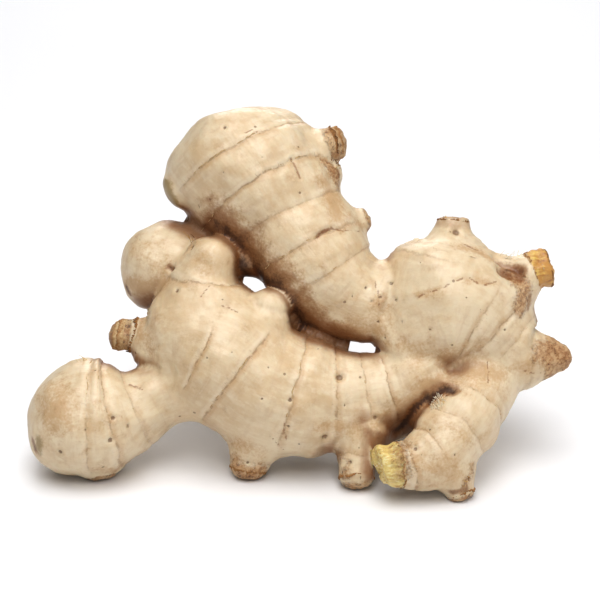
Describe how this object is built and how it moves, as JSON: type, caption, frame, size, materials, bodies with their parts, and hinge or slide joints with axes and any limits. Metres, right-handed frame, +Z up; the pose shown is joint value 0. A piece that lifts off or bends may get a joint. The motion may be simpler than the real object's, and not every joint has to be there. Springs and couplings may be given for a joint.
{
  "type": "ginger root",
  "caption": "Hand of fresh ginger root: fat ringed fingers and knobs joined in one rhizome, standing on low feet.",
  "frame": {"origin": "middle of the base, at the height of the surface it stands on", "axes": "+X along the hand, from the round end knob to the pointed end; +Y towards its rear foot, the way the fan of fingers leans; +Z up"},
  "size_m": [0.1352, 0.0796, 0.0855],
  "materials": {
    "rhizome": "dry papery ginger skin, pale tan with a soft sheen"
  },
  "bodies": {
    "root": {"rhizome": "rhizome"}
  },
  "joints": []
}
